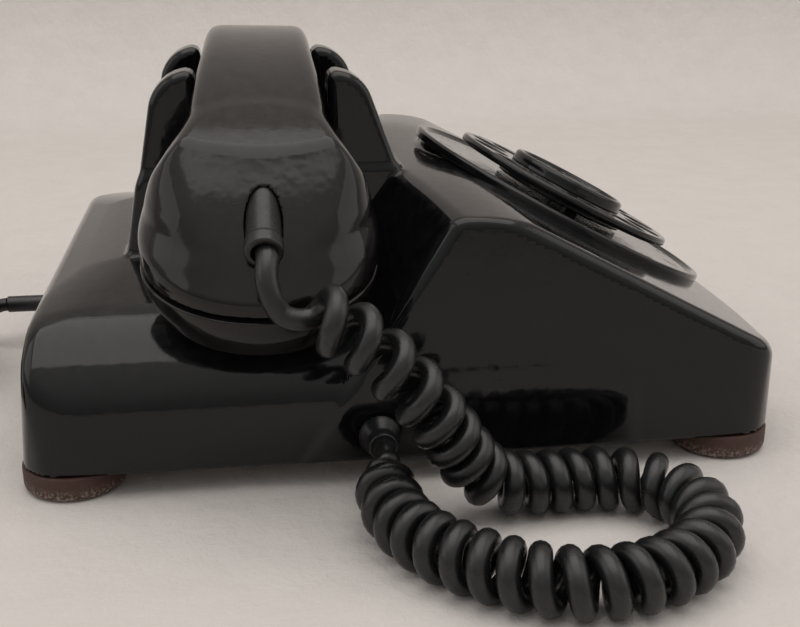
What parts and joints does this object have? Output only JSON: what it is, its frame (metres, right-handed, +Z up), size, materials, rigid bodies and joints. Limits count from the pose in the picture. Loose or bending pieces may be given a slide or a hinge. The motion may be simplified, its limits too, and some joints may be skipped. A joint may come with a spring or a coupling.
{
  "type": "rotary dial desk telephone",
  "caption": "Desk telephone with a rotary dial on a sloping deck, a handset across a four-eared cradle, a curly handset cord and a tied line cord.",
  "frame": {"origin": "on the table, under the middle of the housing", "axes": "+X towards the receiver end of the handset, -Y the way the dial faces, +Z up"},
  "size_m": [0.2999, 0.326, 0.1185],
  "materials": {
    "housing_plastic": "gloss",
    "handset_plastic": "gloss",
    "cord_rubber": "satin",
    "zinc_plate": "satin",
    "bright_steel": "satin",
    "spring_brass": "satin",
    "magnet_iron": "matte",
    "coil_copper": "matte",
    "capsule_metal": "satin",
    "foot_leather": "matte",
    "card_paper": "matte",
    "window_clear": "gloss"
  },
  "bodies": {
    "case": {"housing": "housing_plastic", "base_plate": "zinc_plate", "feet": "foot_leather", "foot_rivets": "spring_brass", "housing_screws": "bright_steel", "hook_bracket": "zinc_plate", "hook_pin": "bright_steel", "hook_contacts": "spring_brass", "dial_mount_ring": "zinc_plate", "number_plate": "housing_plastic", "dial_frame": "zinc_plate", "dial_back_plate": "zinc_plate", "finger_stop": "bright_steel", "return_spring": "bright_steel", "governor_cup": "zinc_plate", "pulse_contacts": "spring_brass", "ringer_frame": "zinc_plate", "ringer_coils": "coil_copper", "ringer_magnet": "magnet_iron", "gong_left": "spring_brass", "gong_right": "spring_brass", "gong_screws": "bright_steel", "network_box": "zinc_plate", "network_terminals": "spring_brass", "line_gland": "cord_rubber", "curl_gland": "cord_rubber", "curly_cord": "cord_rubber", "line_cord": "cord_rubber", "line_cord_coil": "cord_rubber", "coil_tie": "bright_steel", "line_plug": "cord_rubber"},
    "dial_wheel": {"finger_wheel": "housing_plastic", "card_ring": "housing_plastic", "number_card": "card_paper", "card_window": "window_clear", "dial_shaft": "bright_steel", "main_gear": "spring_brass"},
    "pulse_train": {"pulse_gear": "spring_brass"},
    "governor": {"governor_rotor": "bright_steel"},
    "plungers": {"plunger_left": "handset_plastic", "plunger_right": "handset_plastic"},
    "hook_arm": {"hook_lever": "bright_steel"},
    "clapper_arm": {"clapper": "spring_brass"},
    "handset": {"handset_handle": "handset_plastic", "transmitter_cap": "handset_plastic", "transmitter_unit": "capsule_metal", "receiver_cap": "handset_plastic", "receiver_unit": "capsule_metal", "handset_boot": "cord_rubber"}
  },
  "joints": [
    {"name": "dial_turn", "type": "hinge", "parent": "case", "child": "dial_wheel", "pos_m": [0, -0.0622, 0.0568], "axis": [0, 0.4648, -0.8854], "range_deg": [0, 330], "stiffness_Nm_per_rad": 0.01, "springref_deg": -57.3},
    {"name": "pulse_turn", "type": "hinge", "parent": "case", "child": "pulse_train", "pos_m": [0, -0.0367, 0.07019], "axis": [0, 0.4648, -0.8854], "range_deg": [-1650, 0]},
    {"name": "governor_spin", "type": "hinge", "parent": "case", "child": "governor", "pos_m": [0.02, -0.0367, 0.07019], "axis": [0, 0.4648, -0.8854], "range_deg": [0, 6600]},
    {"name": "handset_lift", "type": "slide", "parent": "case", "child": "handset", "axis": [0, 0, 1], "range_m": [0, 0.03]},
    {"name": "plunger_rise", "type": "slide", "parent": "case", "child": "plungers", "axis": [0, 0, 1], "range_m": [0, 0.005]},
    {"name": "hook_swing", "type": "hinge", "parent": "case", "child": "hook_arm", "pos_m": [0, 0.0075, 0.058], "axis": [1, 0, 0], "range_deg": [0, 8.5]},
    {"name": "clapper_swing", "type": "hinge", "parent": "case", "child": "clapper_arm", "pos_m": [0, 0.057, 0.027], "axis": [0, 0, 1], "range_deg": [-2.5, 2.5]}
  ],
  "couplings": [
    {"joint": "pulse_turn", "follows": "dial_turn", "ratio": -5},
    {"joint": "governor_spin", "follows": "dial_turn", "ratio": 20},
    {"joint": "plunger_rise", "follows": "handset_lift", "ratio": 0.16667},
    {"joint": "hook_swing", "follows": "handset_lift", "rad_per_m": 4.94}
  ]
}
